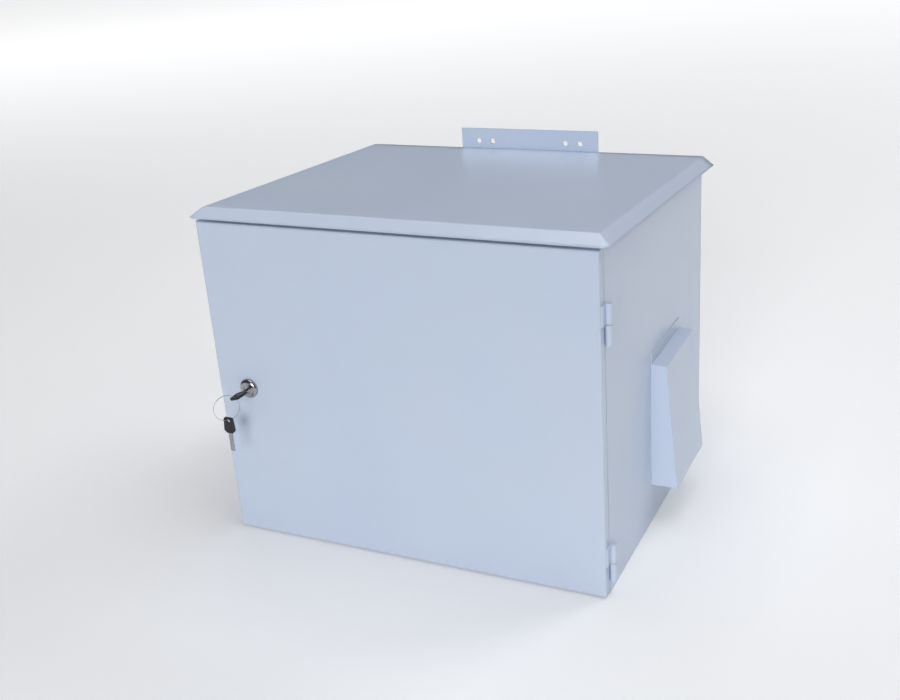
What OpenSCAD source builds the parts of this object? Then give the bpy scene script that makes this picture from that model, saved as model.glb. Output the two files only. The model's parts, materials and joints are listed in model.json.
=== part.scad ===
// Small outdoor utility cabinet: a folded steel carcass with a full overlay door,
// a roof that falls to the rear, a fan under a side hood and brackets on the back.
// The origin is the centre of the base's underside. The door faces -Y and +Z is up.

/* [Carcass] */
// Width over the side panels
body_w = 600; // [500:10:900]
// Depth of the carcass without its door
body_d = 480; // [400:10:700]
// Height of the carcass at its front
body_h = 506; // [440:2:800]
// Thickness of the steel sheet
sheet_t = 1.5; // [1:0.1:2]
// Width of the side panels' folded flanges
flange_w = 22; // [20:1:28]
// Depth of the folded edges of the base and top panels
pan_edge = 14; // [10:1:18]

/* [Roof] */
// Fall of the roof to the rear, in degrees
roof_fall = 3.14; // [1:0.1:5]
// Air gap between the top panel and the roof
roof_gap = 8.8; // [7:0.1:14]
// Distance the roof passes the back panel
roof_back = 25; // [10:1:40]
// Distance of the side fold lines inside the side panels
rim_inset = 4.6; // [3:0.2:8]
// Distance the sloping rim spreads outwards
rim_out = 17.5; // [12:0.5:25]
// Height the sloping rim drops
rim_drop = 13.6; // [8:0.2:14]
// Distance of the roof studs from the carcass sides and front
roof_stud_in = 60; // [40:5:90]

/* [Door] */
// Depth of the folded door
door_t = 15; // [13:0.5:20]
// Gap between the door's folded edge and the carcass
door_gap = 2; // [1.5:0.5:3]
// Height of the door's lower edge above the base
door_low = 2; // [1:0.5:6]
// Distance of the door's top edge below the carcass top
door_top_gap = 7; // [6:0.5:12]
// Outer bend radius of the door's edges
door_bend = 2.5; // [2:0.1:3.5]
// Height of the frame's lip that presses into the seal
lip_h = 8; // [5:0.5:8]
// Width of the foam seal
seal_w = 12; // [8:1:16]
// Width of the door stiffener
stiffener_w = 60; // [40:2:80]
// Depth of the door stiffener
stiffener_t = 11; // [8:0.5:12]

/* [Hinges] */
// Diameter of the hinge barrels
hinge_d = 9.5; // [9:0.5:12]
// Length of one barrel half
hinge_half = 28; // [20:1:40]
// Height of the upper hinge's joint
hinge_top_z = 398.5; // [300:0.5:420]
// Height of the lower hinge's joint
hinge_low_z = 49.5; // [40:0.5:120]
// Diameter of the hinge pin
pin_d = 5; // [4:0.5:6]
// Thickness of the washer between the halves
washer_t = 1; // [0.8:0.1:2]

/* [Lock] */
// Distance of the lock from the door's free edge
lock_in = 52.3; // [48:0.1:60]
// Height of the lock
lock_z = 245.8; // [150:0.1:330]
// Diameter of the lock's outer collar
lock_d = 30; // [26:1:34]
// Height of the lock's outer collar
lock_out = 6; // [4:0.5:8]
// Diameter of the lock's threaded body
lock_body_d = 18.5; // [17:0.5:20]
// Diameter of the turning cylinder
core_d = 11.9; // [10.9:0.1:12.9]
// Length of the locking cam from the lock's axis
cam_len = 45; // [40:1:46]
// Angle of the key's head from level
key_turn = 15; // [0:1:30]
// Width of the key's head at its shoulder
key_w = 18; // [16:0.5:20]
// Length of the key's head
key_len = 25; // [22:1:30]
// Thickness of the key's head
key_t = 4; // [3:0.2:4.2]
// Distance of the key's end from the door
key_reach = 41; // [38:1:48]
// Diameter of the key ring at the middle of its wire
ring_d = 39; // [36:1:44]
// Direction in which the ring hangs, from straight out of the door towards the left
ring_turn = 40; // [30:1:45]

/* [Hood and fan] */
// Width of the hood
hood_w = 147; // [140:1:170]
// Distance of the hood's middle behind the carcass middle
hood_y = 32; // [-20:1:60]
// Height of the hood's open lower edge
hood_low = 64; // [40:1:80]
// Height of the hood's top where it meets the side panel
hood_top = 260.5; // [250:0.5:300]
// Drop of the hood's top to its outer fold
hood_top_drop = 2; // [0:1:24]
// Distance the hood's outer fold stands out
hood_top_out = 23; // [16:1:30]
// Distance the hood's lower edge stands out
hood_low_out = 40; // [34:1:60]
// Width of the hood's side flanges, which are turned inwards
hood_flange = 11; // [10:1:12]
// Width of the square fan frame
fan_w = 119; // [110:1:120]
// Depth of the fan frame
fan_t = 25; // [25:1:38]
// Height of the fan's axis
fan_z = 162; // [150:1:175]
// Diameter of the fan's air way
fan_bore = 113; // [104:1:114]
// Number of fan blades
fan_blades = 7; // [5:1:9]

/* [Back and base] */
// Width of the rear brackets
bracket_w = 244; // [220:2:300]
// Thickness of the rear brackets
bracket_t = 3; // [2.5:0.5:4]
// Height of the upper bracket's top edge
bracket_top = 522; // [522:1:560]
// Height of each bracket's outer plate
bracket_h = 82; // [70:1:90]
// Height of the lower bracket's lower edge
bracket_low = 12; // [6:1:30]
// Diameter of the bracket's mounting holes
bracket_hole = 9; // [8:0.5:11]
// Distance between the outer pair of mounting holes
hole_span_outer = 181.6; // [170:0.2:200]
// Distance between the inner pair of mounting holes
hole_span_inner = 130.4; // [110:0.2:150]
// Distance of the mounting holes from the bracket's edge
hole_edge = 21.5; // [15:0.5:30]
// Width of the equipment plate
plate_w = 500; // [300:10:500]
// Height of the equipment plate
plate_h = 390; // [200:10:400]
// Thickness of the equipment plate
plate_t = 2; // [1.5:0.5:3]
// Distance of the equipment plate from the back panel
plate_gap = 15; // [12:1:30]
// Length of the cable opening in the base
cable_w = 140; // [130:2:180]
// Depth of the cable opening in the base
cable_d = 60; // [50:2:64]
// Distance of the cable opening's middle from the carcass's rear
cable_in = 90; // [80:1:150]
// Distance of the air intake's middle from the carcass's front
intake_in = 90; // [80:1:150]
// Distance of the air intake's middle from the left side
intake_side = 150; // [100:1:200]
// Distance of the earth stud from the left side
earth_in = 60; // [40:1:90]
// Diameter of the cable way through each grommet
cable_bore = 14; // [8:1:18]

/* [Hidden] */
$fn = 48;

eps = 0.01;
half_w = body_w / 2;
front_y = -body_d / 2;
back_y = body_d / 2;
door_y = front_y - door_gap - door_t;
opening_x = half_w - flange_w;
seat_gap = 0.3;
paint = [0.74, 0.80, 0.88];
zinc = [0.72, 0.73, 0.74];
steel = [0.60, 0.61, 0.63];
black = [0.10, 0.10, 0.11];
chrome = [0.82, 0.83, 0.85];

// Frame of the sloping top: its origin is on the carcass's front top edge.
top_len = body_d / cos(roof_fall);
roof_len = top_len + roof_back;
module sloping() {
    translate([0, front_y, body_h]) rotate([-roof_fall, 0, 0]) children();
}

// Everything above the carcass's sloping top.
module above_top() {
    sloping() translate([-body_w, -body_d, 0]) cube([2 * body_w, 3 * body_d, body_h]);
}

// A box from its two opposite corners.
module box(low, high) {
    translate(low) cube(high - low);
}

// A bar with a hexagonal outline, measured across its flats.
module hexagon(across, height) {
    cylinder(h = height, d = across / cos(30), $fn = 6);
}

// M6 and M8 hardware
m6_d = 6;
m6_hole = 6.6;
m6_flats = 10;
m6_nut_h = 5;
m8_d = 8;
m8_hole = 8.6;
m8_flats = 13;
m8_nut_h = 6.5;
m8_head_h = 5.5;

// ---- Carcass ----

fan_hole_d = fan_bore - 1;
fan_pitch = fan_w - 14;
fan_screw_hole = 4.4;
module fan_holes(height) {
    for (a = [0 : 90 : 270])
        rotate([0, 0, a + 45]) translate([fan_pitch / sqrt(2), 0, 0]) cylinder(h = height, d = fan_screw_hole);
}

// Local +Z points out through the right side panel, on the fan's axis.
module at_fan(x) {
    translate([x, hood_y, fan_z]) rotate([0, 90, 0]) children();
}

// One side panel's plan: a web with a flange at the front and one at the rear.
module side_plan() {
    polygon([
        [half_w, front_y], [half_w, back_y - sheet_t],
        [opening_x, back_y - sheet_t], [opening_x, back_y - 2 * sheet_t],
        [half_w - sheet_t, back_y - 2 * sheet_t], [half_w - sheet_t, front_y + sheet_t],
        [opening_x, front_y + sheet_t], [opening_x, front_y]
    ]);
}

module side_panel() {
    difference() {
        linear_extrude(height = body_h) side_plan();
        above_top();
    }
}

rivet_d = 3.2;
rivet_head_d = 6.4;
rivet_head_h = 1.1;
rivet_hole = 3.4;
rivet_tail = 3;
hood_top_flange = 16;
hood_front = hood_y - hood_w / 2;
hood_rear = hood_y + hood_w / 2;
hood_rivet_top = hood_top - 40;
hood_rivet_low = hood_low + 20;
rivet_places = [
    for (z = [hood_rivet_low, hood_rivet_top])
        for (y = [hood_front + sheet_t + hood_flange / 2, hood_rear - sheet_t - hood_flange / 2]) [y, z],
    for (y = [hood_front + hood_w * 0.15, hood_y, hood_rear - hood_w * 0.15]) [y, hood_top + hood_top_flange * 0.6]
];
module at_rivets(x) {
    for (p = rivet_places) translate([x, p[0], p[1]]) rotate([0, 90, 0]) children();
}

module left_side_panel() {
    color(paint) mirror([1, 0, 0]) side_panel();
}

module right_side_panel() {
    color(paint) difference() {
        side_panel();
        at_fan(half_w - 2 * sheet_t) cylinder(h = 3 * sheet_t, d = fan_hole_d);
        at_fan(half_w - 2 * sheet_t) fan_holes(3 * sheet_t);
        at_rivets(half_w - 2 * sheet_t) cylinder(h = 3 * sheet_t, d = rivet_hole);
    }
}

// Bolt places on the back panel
bracket_web_top = bracket_top - bracket_h;
bracket_foot = 45;
bolt_x = 90;
bolt_up = bracket_web_top - bracket_foot * 0.62;
bracket_mirror = bracket_top + bracket_low;
plate_mid_z = 250;
stud_x = plate_w / 2 - 25;
stud_dz = plate_h / 2 - 20;
module at_bracket_bolts(y) {
    for (x = [-bolt_x, bolt_x], z = [bolt_up, bracket_mirror - bolt_up])
        translate([x, y, z]) rotate([-90, 0, 0]) children();
}
module at_plate_studs(y) {
    for (x = [-stud_x, stud_x], z = [plate_mid_z - stud_dz, plate_mid_z + stud_dz])
        translate([x, y, z]) rotate([-90, 0, 0]) children();
}

module back_panel() {
    color(paint) difference() {
        box([-half_w, back_y - sheet_t, 0], [half_w, back_y, body_h]);
        above_top();
        at_bracket_bolts(back_y - 2 * sheet_t) cylinder(h = 3 * sheet_t, d = m8_hole);
    }
}

// Plan of the base and the top: full width between the webs, and between the flanges at the ends.
module pan_plan(inset) {
    translate([-half_w + sheet_t + inset, front_y + sheet_t + inset])
        square([body_w - 2 * (sheet_t + inset), body_d - 3 * sheet_t - 2 * inset]);
    translate([-opening_x + inset, front_y + inset])
        square([2 * (opening_x - inset), body_d - sheet_t - 2 * inset]);
}

// Cable opening, gland plate and air intake in the base
cable_y = back_y - cable_in;
gland_margin = 20;
gland_t = 2;
grommet_count = 3;
grommet_pitch = 44;
grommet_hole = 24;
grommet_rim = 28;
gland_screw_hole = 4.4;
module at_grommets() {
    for (i = [0 : grommet_count - 1])
        translate([(i - (grommet_count - 1) / 2) * grommet_pitch, cable_y, 0]) children();
}
module at_gland_screws() {
    for (x = [-1, 1], y = [-1, 1])
        translate([x * (cable_w + gland_margin) / 2, cable_y + y * (cable_d + gland_margin) / 2, 0]) children();
}
slot_count = 8;
slot_l = 60;
slot_w = 6;
slot_pitch = 12;
intake_x = -half_w + intake_side;
intake_y = front_y + intake_in;
filter_w = slot_l + 24;
filter_d = (slot_count - 1) * slot_pitch + slot_w + 20;
filter_t = 10;
clamp_foot = 14;
clamp_screw_hole = 4.4;
module at_filter_screws() {
    for (x = [-1, 1], y = [-1, 1])
        translate([
            intake_x + x * (filter_w / 2 + sheet_t + clamp_foot / 2),
            intake_y + y * (filter_d / 2 - 12),
            0
        ]) children();
}

module base_panel() {
    color(paint) difference() {
        linear_extrude(height = pan_edge) pan_plan(0);
        translate([0, 0, sheet_t]) linear_extrude(height = pan_edge) pan_plan(sheet_t);
        box([-cable_w / 2, cable_y - cable_d / 2, -1], [cable_w / 2, cable_y + cable_d / 2, sheet_t + 1]);
        translate([0, 0, -1]) at_gland_screws() cylinder(h = sheet_t + 2, d = gland_screw_hole);
        translate([0, 0, -1]) at_filter_screws() cylinder(h = sheet_t + 2, d = clamp_screw_hole);
        for (i = [0 : slot_count - 1])
            translate([intake_x, intake_y + (i - (slot_count - 1) / 2) * slot_pitch, sheet_t / 2])
                cube([slot_l, slot_w, 2 * sheet_t], center = true);
    }
}

module at_roof_studs() {
    for (x = [-half_w + roof_stud_in, half_w - roof_stud_in], y = [roof_stud_in, top_len - roof_stud_in])
        sloping() translate([x, y, 0]) children();
}

module top_panel() {
    color(paint) difference() {
        intersection() {
            linear_extrude(height = body_h) pan_plan(0);
            sloping() box([-body_w, -body_d, -pan_edge], [body_w, 2 * body_d, 0]);
        }
        intersection() {
            linear_extrude(height = body_h) pan_plan(sheet_t);
            sloping() box([-body_w, -body_d, -2 * pan_edge], [body_w, 2 * body_d, -sheet_t]);
        }
        at_roof_studs() translate([0, 0, -2 * sheet_t]) cylinder(h = 3 * sheet_t, d = m6_hole);
    }
}

// Ring on the carcass front with a lip standing into the door's seal
frame_edge = 4;
frame_top = body_h - 4;
opening_low = flange_w;
opening_high = body_h - flange_w;
module front_frame() {
    ring_y = front_y - sheet_t;
    color(paint) difference() {
        box([-half_w + frame_edge, ring_y, frame_edge], [half_w - frame_edge, front_y, frame_top]);
        box([-opening_x, ring_y - 1, opening_low], [opening_x, front_y + 1, opening_high]);
    }
}

module frame_lip() {
    ring_y = front_y - sheet_t;
    color(paint) difference() {
        box(
            [-opening_x - sheet_t, ring_y - lip_h, opening_low - sheet_t],
            [opening_x + sheet_t, ring_y, opening_high + sheet_t]
        );
        box([-opening_x, ring_y - lip_h - 1, opening_low], [opening_x, ring_y + 1, opening_high]);
    }
}

// ---- Roof ----

bar = 0.04;
plate_half = half_w - rim_inset;
rim_half = plate_half + rim_out;
module rim_side() {
    hull() {
        box([plate_half - bar, 0, roof_gap], [plate_half, roof_len, roof_gap + sheet_t]);
        box(
            [rim_half - bar, -rim_out, roof_gap - rim_drop],
            [rim_half, roof_len, roof_gap - rim_drop + sheet_t]
        );
    }
}

module roof() {
    color(paint) sloping() box([-plate_half, 0, roof_gap], [plate_half, roof_len, roof_gap + sheet_t]);
}

// The sloping rims, mitred at the front corners, starting at the plate's edges.
module roof_rims() {
    color(paint) sloping() difference() {
        union() {
            rim_side();
            mirror([1, 0, 0]) rim_side();
            hull() {
                box([-plate_half, 0, roof_gap], [plate_half, bar, roof_gap + sheet_t]);
                box(
                    [-rim_half, -rim_out, roof_gap - rim_drop],
                    [rim_half, -rim_out + bar, roof_gap - rim_drop + sheet_t]
                );
            }
        }
        box([-plate_half, 0, roof_gap - rim_drop], [plate_half, roof_len + 1, roof_gap + 2 * sheet_t]);
    }
}

stud_end = 10;
module roof_studs() {
    color(steel) at_roof_studs() translate([0, 0, -stud_end]) cylinder(h = stud_end + roof_gap, d = m6_d);
}

module roof_spacers() {
    color(black) at_roof_studs() difference() {
        cylinder(h = roof_gap, d = 18);
        translate([0, 0, -1]) cylinder(h = roof_gap + 2, d = m6_hole);
    }
}

// A nut with its bore, its lower face at z = 0.
module nut(flats, height, bore) {
    difference() {
        hexagon(flats, height);
        translate([0, 0, -1]) cylinder(h = height + 2, d = bore);
    }
}

module roof_nuts() {
    color(zinc) at_roof_studs() translate([0, 0, -sheet_t - m6_nut_h]) nut(m6_flats, m6_nut_h, m6_d);
}

// ---- Door ----

door_top = body_h - door_top_gap;
door_h = door_top - door_low;
lock_x = -half_w + lock_in;

// A rectangle with two rounded corners at its front, y = 0.
module folded_front(width, depth, radius) {
    translate([0, radius]) square([width, depth - radius]);
    translate([radius, 0]) square([width - 2 * radius, radius]);
    for (x = [radius, width - radius]) translate([x, radius]) circle(r = radius);
}

// A block with its front edges rounded all round.
module folded_block(width, depth, height, radius) {
    intersection() {
        linear_extrude(height = height) folded_front(width, depth, radius);
        translate([width, 0, 0]) rotate([0, -90, 0]) linear_extrude(height = width)
            folded_front(height, depth, radius);
    }
}

// Local +Z points straight out of the door's face, on the lock's axis.
module at_lock() {
    translate([lock_x, door_y, lock_z]) rotate([90, 0, 0]) children();
}

module door_leaf() {
    color(paint) difference() {
        translate([-half_w, door_y, door_low]) folded_block(body_w, door_t, door_h, door_bend);
        translate([-half_w + sheet_t, door_y + sheet_t, door_low + sheet_t])
            folded_block(body_w - 2 * sheet_t, door_t, door_h - 2 * sheet_t, door_bend - sheet_t);
        at_lock() translate([0, 0, -2 * sheet_t]) cylinder(h = 3 * sheet_t, d = lock_body_d + 0.5);
    }
}

hat_foot = 15;
module door_stiffener() {
    x1 = stiffener_w / 2;
    x0 = x1 - hat_foot;
    y0 = door_y + sheet_t;
    y1 = y0 + stiffener_t;
    color(paint) translate([0, 0, opening_low + 20]) linear_extrude(height = opening_high - opening_low - 40)
        polygon([
            [-x1, y0], [-x0, y0], [-x0, y1 - sheet_t], [x0, y1 - sheet_t], [x0, y0], [x1, y0],
            [x1, y0 + sheet_t], [x0 + sheet_t, y0 + sheet_t], [x0 + sheet_t, y1],
            [-x0 - sheet_t, y1], [-x0 - sheet_t, y0 + sheet_t], [-x1, y0 + sheet_t]
        ]);
}

module door_seal() {
    y0 = door_y + sheet_t;
    y1 = front_y - sheet_t - lip_h - seat_gap;
    out = (seal_w + sheet_t) / 2;
    in = seal_w - out;
    color(black) difference() {
        box([-opening_x - out, y0, opening_low - out], [opening_x + out, y1, opening_high + out]);
        box([-opening_x + in, y0 - 1, opening_low + in], [opening_x - in, y1 + 1, opening_high - in]);
    }
}

// ---- Hinges ----

hinge_x = half_w + hinge_d / 2 + seat_gap;
hinge_y = front_y + 1;
hinge_leaf_t = 2.5;
door_leaf_l = 14;
body_leaf_l = 13;
pin_in = hinge_half - 3;
pin_fixed_play = 0.02;
pin_running_play = 0.05;

module at_hinge(z) {
    translate([hinge_x, hinge_y, z]) children();
}

// Upper half, fixed to the door, with its bore open downwards.
module hinge_door_half() {
    z0 = washer_t / 2;
    color(paint) difference() {
        union() {
            translate([0, 0, z0]) cylinder(h = hinge_half, d = hinge_d);
            translate([half_w - hinge_x, -1.5 - door_leaf_l, z0]) cube([hinge_leaf_t, door_leaf_l, hinge_half]);
        }
        translate([0, 0, z0 - 1]) cylinder(h = pin_in + 1 + seat_gap, r = pin_d / 2 + pin_running_play);
    }
}

// Lower half, fixed to the side panel, with the pin standing in it.
module hinge_body_half() {
    z1 = -washer_t / 2;
    color(paint) difference() {
        union() {
            translate([0, 0, z1 - hinge_half]) cylinder(h = hinge_half, d = hinge_d);
            translate([half_w - hinge_x, 1.5, z1 - hinge_half]) cube([hinge_leaf_t, body_leaf_l, hinge_half]);
        }
        translate([0, 0, z1 - pin_in]) cylinder(h = pin_in + 1, r = pin_d / 2 + pin_fixed_play);
    }
}

module hinge_pin() {
    length = 2 * pin_in + washer_t;
    color(steel) translate([0, 0, -length / 2]) cylinder(h = length, d = pin_d);
}

module hinge_washer() {
    color(steel) translate([0, 0, -washer_t / 2]) difference() {
        cylinder(h = washer_t, d = hinge_d - 1);
        translate([0, 0, -1]) cylinder(h = washer_t + 2, r = pin_d / 2 + pin_running_play);
    }
}

// ---- Lock and keys ----

housing_back = door_t + door_gap + sheet_t - 0.5;
cam_gap = 1.2;
cam_t = 3;
cam_w = 16;
cam_front = door_t + door_gap + sheet_t + cam_gap;
core_play = 0.05;
tenon = 7;
tenon_play = 0.1;
dome_steps = 8;
dome_flat_r = 9.5;

// Outline of the collar's dome, a quarter ellipse from its rim to its flat face.
dome = [
    for (i = [0 : dome_steps])
        let (a = 90 * i / dome_steps)
            [dome_flat_r + (lock_d / 2 - dome_flat_r) * cos(a), 1.5 + (lock_out - 1.5) * sin(a)]
];

module lock_housing() {
    inner = core_d / 2 + core_play;
    color(chrome) at_lock() rotate_extrude() polygon(concat(
        [[inner, -housing_back], [lock_body_d / 2, -housing_back], [lock_body_d / 2, 0], [lock_d / 2, 0]],
        dome,
        [[inner, lock_out]]
    ));
}

lock_nut_h = 5;
lock_nut_flats = 26;
module lock_nut() {
    color(zinc) at_lock() translate([0, 0, -sheet_t - lock_nut_h]) nut(lock_nut_flats, lock_nut_h, lock_body_d);
}

// Key and lock cylinder share the key's turned frame.
blade_w = 6.6;
blade_t = 1.8;
blade_play = 0.15;
blade_in = 14;
core_face = lock_out - 1;
cam_screw_d = 5;
cam_screw_in = 5;
module lock_cylinder() {
    color(chrome) at_lock() difference() {
        union() {
            translate([0, 0, -cam_front + seat_gap]) cylinder(h = cam_front + core_face - seat_gap, d = core_d);
            translate([-tenon / 2, -tenon / 2, -cam_front - cam_t]) cube([tenon, tenon, cam_t + 2]);
        }
        rotate([0, 0, key_turn])
            translate([-blade_w / 2 - blade_play, -blade_t / 2 - blade_play, -blade_in])
                cube([blade_w + 2 * blade_play, blade_t + 2 * blade_play, blade_in + lock_out]);
        translate([0, 0, -cam_front - cam_t - 1])
            cylinder(h = cam_t + cam_screw_in + 1, d = cam_screw_d);
    }
}

// The cam points straight up while the door is free to open.
module lock_cam() {
    side = tenon + 2 * tenon_play;
    color(zinc) at_lock() translate([0, 0, -cam_front - cam_t]) difference() {
        union() {
            cylinder(h = cam_t, d = cam_w);
            translate([-cam_w / 2, 0, 0]) cube([cam_w, cam_len, cam_t]);
        }
        translate([-side / 2, -side / 2, -1]) cube([side, side, cam_t + 2]);
    }
}

cam_screw_head_d = 10;
cam_screw_head_h = 3;
module cam_screw() {
    color(zinc) at_lock() translate([0, 0, -cam_front - cam_t]) {
        translate([0, 0, -cam_screw_head_h]) cylinder(h = cam_screw_head_h, d = cam_screw_head_d);
        translate([0, 0, -eps]) cylinder(h = cam_t + cam_screw_in - 1, d = cam_screw_d - 0.1);
    }
}

// A key's own frame: +Z runs from its blade to the end of its head, z = 0 at that end.
key_end_w = key_w - 4;
key_neck = 4;
key_neck_w = 11;
key_corner = 2;
key_hole_d = 6;
key_hole_in = 5;
tang_in = 10;
blade_l = key_reach - key_len + blade_in - 1;
module key_head() {
    w0 = key_w / 2;
    w1 = key_end_w / 2;
    color(black) difference() {
        translate([0, key_t / 2, 0]) rotate([90, 0, 0]) linear_extrude(height = key_t) polygon([
            [-w1 + key_corner, 0], [w1 - key_corner, 0], [w1, -key_corner],
            [w0, key_corner - key_len + key_neck], [w0 - key_corner, key_neck - key_len],
            [key_neck_w / 2, key_neck - key_len], [key_neck_w / 2, -key_len],
            [-key_neck_w / 2, -key_len], [-key_neck_w / 2, key_neck - key_len],
            [-w0 + key_corner, key_neck - key_len], [-w0, key_corner - key_len + key_neck],
            [-w1, -key_corner]
        ]);
        translate([0, 0, -key_hole_in]) rotate([90, 0, 0]) cylinder(h = 2 * key_t, d = key_hole_d, center = true);
        translate([-blade_w / 2, -blade_t / 2, -key_len - 1]) cube([blade_w, blade_t, tang_in + 1]);
    }
}

// The blade has a few cuts along one edge and stands in the head.
cut_count = 5;
cut_depths = [1.2, 0.6, 1.6, 0.9, 1.3];
module key_blade() {
    color(chrome) difference() {
        translate([-blade_w / 2, -blade_t / 2, -key_len - blade_l]) cube([blade_w, blade_t, blade_l + tang_in]);
        for (i = [0 : cut_count - 1])
            translate([blade_w / 2, 0, -key_len - blade_l + 3.5 + 4 * i])
                rotate([0, 45, 0]) cube([cut_depths[i] * sqrt(2), 2 * blade_t, cut_depths[i] * sqrt(2)], center = true);
    }
}

module in_lock() {
    at_lock() rotate([0, 0, key_turn]) translate([0, 0, key_reach]) children();
}

// The ring passes the inserted key's hole at an angle and carries the spare key at its lowest point.
ring_wire = 1.2;
ring_r = ring_d / 2;
ring_lean = 50;
ring_dir = [-sin(ring_turn), -cos(ring_turn), 0];
hole_pos = [lock_x, door_y - key_reach + key_hole_in, lock_z];
ring_pos = hole_pos + ring_r * sin(ring_lean) * ring_dir - [0, 0, ring_r * cos(ring_lean)];
// The ring crosses the spare key's hole at a slant, so it bears on the hole's edges beside its top.
slant_side = key_t / 2 * tan(ring_turn) + ring_wire / 2 / cos(ring_turn);
spare_drop = sqrt(pow(key_hole_d / 2, 2) - pow(slant_side, 2)) - ring_wire / 2 - seat_gap;
spare_hole = ring_pos - [0, 0, ring_r + spare_drop];
module key_ring() {
    color(steel) translate(ring_pos) rotate([0, 0, 90 - ring_turn]) rotate([90, 0, 0])
        rotate_extrude() translate([ring_r, 0]) circle(d = ring_wire, $fn = 24);
}

module on_ring() {
    translate(spare_hole + [0, 0, key_hole_in]) children();
}

// ---- Hood and fan ----

// Side view of the hood: distance out from the panel, and height.
hood_outline = [
    [0, hood_low], [hood_low_out, hood_low],
    [hood_top_out, hood_top - hood_top_drop], [0, hood_top]
];
hood_hollow = [
    [-1, hood_low - 1], [hood_low_out - sheet_t * 1.1, hood_low - 1],
    [hood_top_out - sheet_t, hood_top - hood_top_drop - sheet_t], [0, hood_top - sheet_t * 1.1],
    [-1, hood_top - sheet_t * 1.1]
];
module vent_hood() {
    color(paint) difference() {
        union() {
            difference() {
                translate([half_w, hood_rear, 0]) rotate([90, 0, 0]) linear_extrude(height = hood_w)
                    polygon(hood_outline);
                translate([half_w, hood_rear - sheet_t, 0]) rotate([90, 0, 0])
                    linear_extrude(height = hood_w - 2 * sheet_t) polygon(hood_hollow);
            }
            for (y = [hood_front, hood_rear - sheet_t - hood_flange])
                box(
                    [half_w, y, hood_low],
                    [half_w + sheet_t, y + sheet_t + hood_flange, hood_top - hood_top_drop - sheet_t]
                );
            box([half_w, hood_front, hood_top - 2 * sheet_t], [half_w + sheet_t, hood_rear, hood_top + hood_top_flange]);
        }
        at_rivets(half_w - sheet_t) cylinder(h = 3 * sheet_t, d = rivet_hole);
    }
}

module hood_rivets() {
    color(paint) at_rivets(half_w + sheet_t) rotate_extrude() polygon([
        [0, -2 * sheet_t - rivet_tail], [rivet_d / 2, -2 * sheet_t - rivet_tail], [rivet_d / 2, 0],
        [rivet_head_d / 2, 0], [rivet_head_d / 2 - 0.6, rivet_head_h * 0.7], [rivet_head_d / 4, rivet_head_h],
        [0, rivet_head_h]
    ]);
}

motor_r = 19;
motor_t = 6;
strut_w = 4;
strut_count = 4;
shaft_d = 4;
shaft_play = 0.05;
fan_x = half_w - sheet_t - fan_t;
module fan_frame() {
    color(black) at_fan(fan_x) difference() {
        union() {
            difference() {
                translate([-fan_w / 2, -fan_w / 2, 0]) cube([fan_w, fan_w, fan_t]);
                translate([0, 0, -1]) cylinder(h = fan_t + 2, d = fan_bore);
            }
            cylinder(h = motor_t, r = motor_r);
            for (i = [0 : strut_count - 1])
                rotate([0, 0, 45 + i * 360 / strut_count]) translate([motor_r - 2, -strut_w / 2, 0])
                    cube([fan_bore / 2 - motor_r + 3, strut_w, motor_t * 0.6]);
        }
        translate([0, 0, -1]) cylinder(h = motor_t + 2, r = shaft_d / 2 + shaft_play);
        translate([0, 0, -1]) fan_holes(fan_t + 2);
    }
}

blade_gap = 1.2;
blade_pitch = 38;
blade_thick = 1.6;
blade_chord = 20;
module fan_impeller() {
    tip_r = fan_bore / 2 - blade_gap;
    hub_r = motor_r - 1;
    z0 = motor_t + 1;
    hub_t = fan_t - z0 - 2;
    color(black) at_fan(fan_x) {
        translate([0, 0, z0]) cylinder(h = hub_t, r = hub_r);
        translate([0, 0, 1]) cylinder(h = z0, d = shaft_d);
        intersection() {
            translate([0, 0, z0]) cylinder(h = hub_t, r = tip_r);
            for (i = [0 : fan_blades - 1])
                rotate([0, 0, i * 360 / fan_blades]) translate([hub_r - 2, 0, z0 + hub_t / 2])
                    rotate([blade_pitch, 0, 0]) translate([0, -blade_chord / 2, -blade_thick / 2])
                        cube([fan_bore / 2, blade_chord, blade_thick]);
        }
    }
}

guard_wire = 1.6;
guard_rings = [14, 26, 38, 50];
module fan_guard() {
    reach = fan_pitch / sqrt(2);
    color(chrome) at_fan(fan_x - guard_wire / 2) {
        for (r = guard_rings) rotate_extrude() translate([r, 0]) circle(d = guard_wire, $fn = 16);
        for (a = [45, 135]) rotate([0, 0, a]) difference() {
            union() {
                for (s = [-1, 1]) translate([s * reach, 0, 0]) cylinder(h = guard_wire, d = 10, center = true);
                translate([-reach + 4, -guard_wire / 2, -guard_wire / 2])
                    cube([2 * reach - 8, guard_wire, guard_wire]);
            }
            for (s = [-1, 1]) translate([s * reach, 0, 0]) cylinder(h = 3 * guard_wire, d = fan_screw_hole, center = true);
        }
    }
}

m4_d = 4;
m4_head_d = 8;
m4_head_h = 2.4;
m4_nut_h = 3.2;
m4_flats = 7;
module at_fan_screws(x) {
    for (a = [45 : 90 : 315])
        at_fan(x) rotate([0, 0, a]) translate([fan_pitch / sqrt(2), 0, 0]) children();
}
module fan_screws() {
    tail = fan_t + sheet_t + guard_wire + m4_nut_h + 1.5;
    color(zinc) at_fan_screws(half_w) {
        cylinder(h = m4_head_h, d = m4_head_d);
        translate([0, 0, -tail]) cylinder(h = tail + eps, d = m4_d);
    }
}
module fan_nuts() {
    color(zinc) at_fan_screws(fan_x - guard_wire - m4_nut_h) nut(m4_flats, m4_nut_h, m4_d);
}

// ---- Air intake in the base ----

module intake_filter() {
    color([0.85, 0.87, 0.88]) translate([intake_x - filter_w / 2, intake_y - filter_d / 2, sheet_t])
        cube([filter_w, filter_d, filter_t]);
}

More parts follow.
